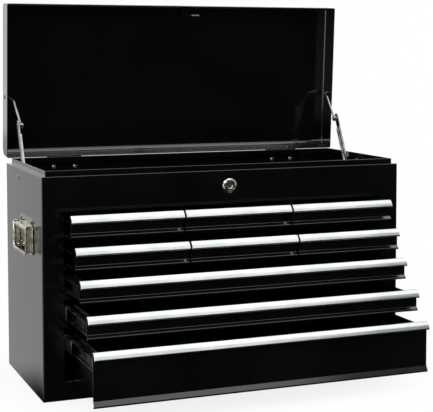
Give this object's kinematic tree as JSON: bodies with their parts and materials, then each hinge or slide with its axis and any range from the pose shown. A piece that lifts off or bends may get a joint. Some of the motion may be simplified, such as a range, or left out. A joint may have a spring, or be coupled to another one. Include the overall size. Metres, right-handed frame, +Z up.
{
  "type": "machinist tool chest",
  "caption": "Folded-steel top tool chest with a lidded till, folding lid stays, small and full-width drawers on slides, a key lock and drop handles at the sides.",
  "frame": {"origin": "centre of the base, on the surface that the chest stands on", "axes": "+Z up, +X to the right seen from the front, the drawers pull out along -Y"},
  "size_m": [0.637, 0.4603, 0.616],
  "materials": {
    "black_enamel": "gloss baked enamel",
    "satin_aluminium": "satin anodised",
    "zinc_steel": "bright zinc plated",
    "black_zinc": "black plated slide steel",
    "nickel": "nickel plated",
    "chrome": "bright plated pressed steel"
  },
  "bodies": {
    "cabinet": {"left_side_panel": "black_enamel", "right_side_panel": "black_enamel", "back_panel": "black_enamel", "bottom_panel": "black_enamel", "front_header": "black_enamel", "till_floor": "black_enamel", "face_rails": "black_enamel", "bottom_rail": "black_enamel", "partitions": "black_enamel", "slide_posts": "black_enamel", "small_drawer_rails": "black_zinc", "wide_drawer_rails": "black_zinc", "hinge_body_leaves": "black_enamel", "hinge_pins": "zinc_steel", "hinge_body_bolts": "zinc_steel", "stay_base_rivets": "zinc_steel", "lock_housing": "nickel", "lock_nut": "zinc_steel", "left_handle_plate": "chrome", "right_handle_plate": "chrome", "handle_pins": "chrome", "handle_rivets": "chrome"},
    "lid": {"lid_shell": "black_enamel", "hinge_lid_leaves": "black_enamel", "hinge_lid_bolts": "black_enamel", "lock_strike": "black_enamel"},
    "left_stay_lower_link": {"left_stay_bar": "zinc_steel"},
    "left_stay_upper_link": {"left_stay_rod": "zinc_steel", "left_stay_rivet": "zinc_steel"},
    "right_stay_lower_link": {"right_stay_bar": "zinc_steel"},
    "right_stay_upper_link": {"right_stay_rod": "zinc_steel", "right_stay_rivet": "zinc_steel"},
    "row1_left_drawer": {"row1_left_drawer_tray": "black_enamel", "row1_left_drawer_pull": "satin_aluminium"},
    "row1_middle_drawer": {"row1_middle_drawer_tray": "black_enamel", "row1_middle_drawer_pull": "satin_aluminium"},
    "row1_right_drawer": {"row1_right_drawer_tray": "black_enamel", "row1_right_drawer_pull": "satin_aluminium"},
    "row2_left_drawer": {"row2_left_drawer_tray": "black_enamel", "row2_left_drawer_pull": "satin_aluminium"},
    "row2_middle_drawer": {"row2_middle_drawer_tray": "black_enamel", "row2_middle_drawer_pull": "satin_aluminium"},
    "row2_right_drawer": {"row2_right_drawer_tray": "black_enamel", "row2_right_drawer_pull": "satin_aluminium"},
    "row3_drawer": {"row3_drawer_tray": "black_enamel", "row3_drawer_pull": "satin_aluminium", "row3_drawer_slides": "black_zinc"},
    "row3_intermediate": {"row3_intermediate_slides": "black_zinc"},
    "row4_drawer": {"row4_drawer_tray": "black_enamel", "row4_drawer_pull": "satin_aluminium", "row4_drawer_slides": "black_zinc"},
    "row4_intermediate": {"row4_intermediate_slides": "black_zinc"},
    "row5_drawer": {"row5_drawer_tray": "black_enamel", "row5_drawer_pull": "satin_aluminium", "row5_drawer_slides": "black_zinc"},
    "row5_intermediate": {"row5_intermediate_slides": "black_zinc"},
    "lock_key_plug": {"lock_plug": "nickel", "lock_cam": "zinc_steel"},
    "left_handle": {"left_handle_bail": "chrome"},
    "right_handle": {"right_handle_bail": "chrome"}
  },
  "joints": [
    {"name": "lid_hinge", "type": "hinge", "parent": "cabinet", "child": "lid", "pos_m": [0, 0.1316, 0.3513], "axis": [1, 0, 0], "range_deg": [0, 86.3]},
    {"name": "left_stay_base", "type": "hinge", "parent": "cabinet", "child": "left_stay_lower_link", "pos_m": [-0.295, 0.038, 0.3305], "axis": [1, 0, 0], "range_deg": [0, 100.83]},
    {"name": "left_stay_top", "type": "hinge", "parent": "lid", "child": "left_stay_upper_link", "pos_m": [-0.3045, 0.141, 0.4567], "axis": [1, 0, 0], "range_deg": [-113.72, 0]},
    {"name": "right_stay_base", "type": "hinge", "parent": "cabinet", "child": "right_stay_lower_link", "pos_m": [0.295, 0.038, 0.3305], "axis": [1, 0, 0], "range_deg": [0, 100.83]},
    {"name": "right_stay_top", "type": "hinge", "parent": "lid", "child": "right_stay_upper_link", "pos_m": [0.3045, 0.141, 0.4567], "axis": [1, 0, 0], "range_deg": [-113.72, 0]},
    {"name": "row1_left_drawer_slide", "type": "slide", "parent": "cabinet", "child": "row1_left_drawer", "axis": [0, -1, 0], "range_m": [-0.038, 0.157]},
    {"name": "row1_middle_drawer_slide", "type": "slide", "parent": "cabinet", "child": "row1_middle_drawer", "axis": [0, -1, 0], "range_m": [-0.038, 0.157]},
    {"name": "row1_right_drawer_slide", "type": "slide", "parent": "cabinet", "child": "row1_right_drawer", "axis": [0, -1, 0], "range_m": [-0.038, 0.157]},
    {"name": "row2_left_drawer_slide", "type": "slide", "parent": "cabinet", "child": "row2_left_drawer", "axis": [0, -1, 0], "range_m": [-0.063, 0.132]},
    {"name": "row2_middle_drawer_slide", "type": "slide", "parent": "cabinet", "child": "row2_middle_drawer", "axis": [0, -1, 0], "range_m": [-0.063, 0.132]},
    {"name": "row2_right_drawer_slide", "type": "slide", "parent": "cabinet", "child": "row2_right_drawer", "axis": [0, -1, 0], "range_m": [-0.063, 0.132]},
    {"name": "row3_drawer_slide", "type": "slide", "parent": "cabinet", "child": "row3_drawer", "axis": [0, -1, 0], "range_m": [-0.088, 0.107]},
    {"name": "row3_intermediate_slide", "type": "slide", "parent": "cabinet", "child": "row3_intermediate", "axis": [0, -1, 0], "range_m": [-0.044, 0.0535]},
    {"name": "row4_drawer_slide", "type": "slide", "parent": "cabinet", "child": "row4_drawer", "axis": [0, -1, 0], "range_m": [-0.127, 0.068]},
    {"name": "row4_intermediate_slide", "type": "slide", "parent": "cabinet", "child": "row4_intermediate", "axis": [0, -1, 0], "range_m": [-0.0635, 0.034]},
    {"name": "row5_drawer_slide", "type": "slide", "parent": "cabinet", "child": "row5_drawer", "axis": [0, -1, 0], "range_m": [-0.159, 0.036]},
    {"name": "row5_intermediate_slide", "type": "slide", "parent": "cabinet", "child": "row5_intermediate", "axis": [0, -1, 0], "range_m": [-0.0795, 0.018]},
    {"name": "lock_turn", "type": "hinge", "parent": "cabinet", "child": "lock_key_plug", "pos_m": [0, -0.12, 0.32], "axis": [0, 1, 0], "range_deg": [0, 90]},
    {"name": "left_handle_lift", "type": "hinge", "parent": "cabinet", "child": "left_handle", "pos_m": [-0.312, -0.025, 0.2575], "axis": [0, 1, 0], "range_deg": [0, 90]},
    {"name": "right_handle_lift", "type": "hinge", "parent": "cabinet", "child": "right_handle", "pos_m": [0.312, -0.025, 0.2575], "axis": [0, -1, 0], "range_deg": [0, 90]}
  ],
  "couplings": [
    {"joint": "left_stay_base", "follows": "lid_hinge", "ratio": 1.1682},
    {"joint": "left_stay_top", "follows": "lid_hinge", "ratio": -1.3176},
    {"joint": "right_stay_base", "follows": "lid_hinge", "ratio": 1.1682},
    {"joint": "right_stay_top", "follows": "lid_hinge", "ratio": -1.3176},
    {"joint": "row3_intermediate_slide", "follows": "row3_drawer_slide", "ratio": 0.5},
    {"joint": "row4_intermediate_slide", "follows": "row4_drawer_slide", "ratio": 0.5},
    {"joint": "row5_intermediate_slide", "follows": "row5_drawer_slide", "ratio": 0.5}
  ]
}
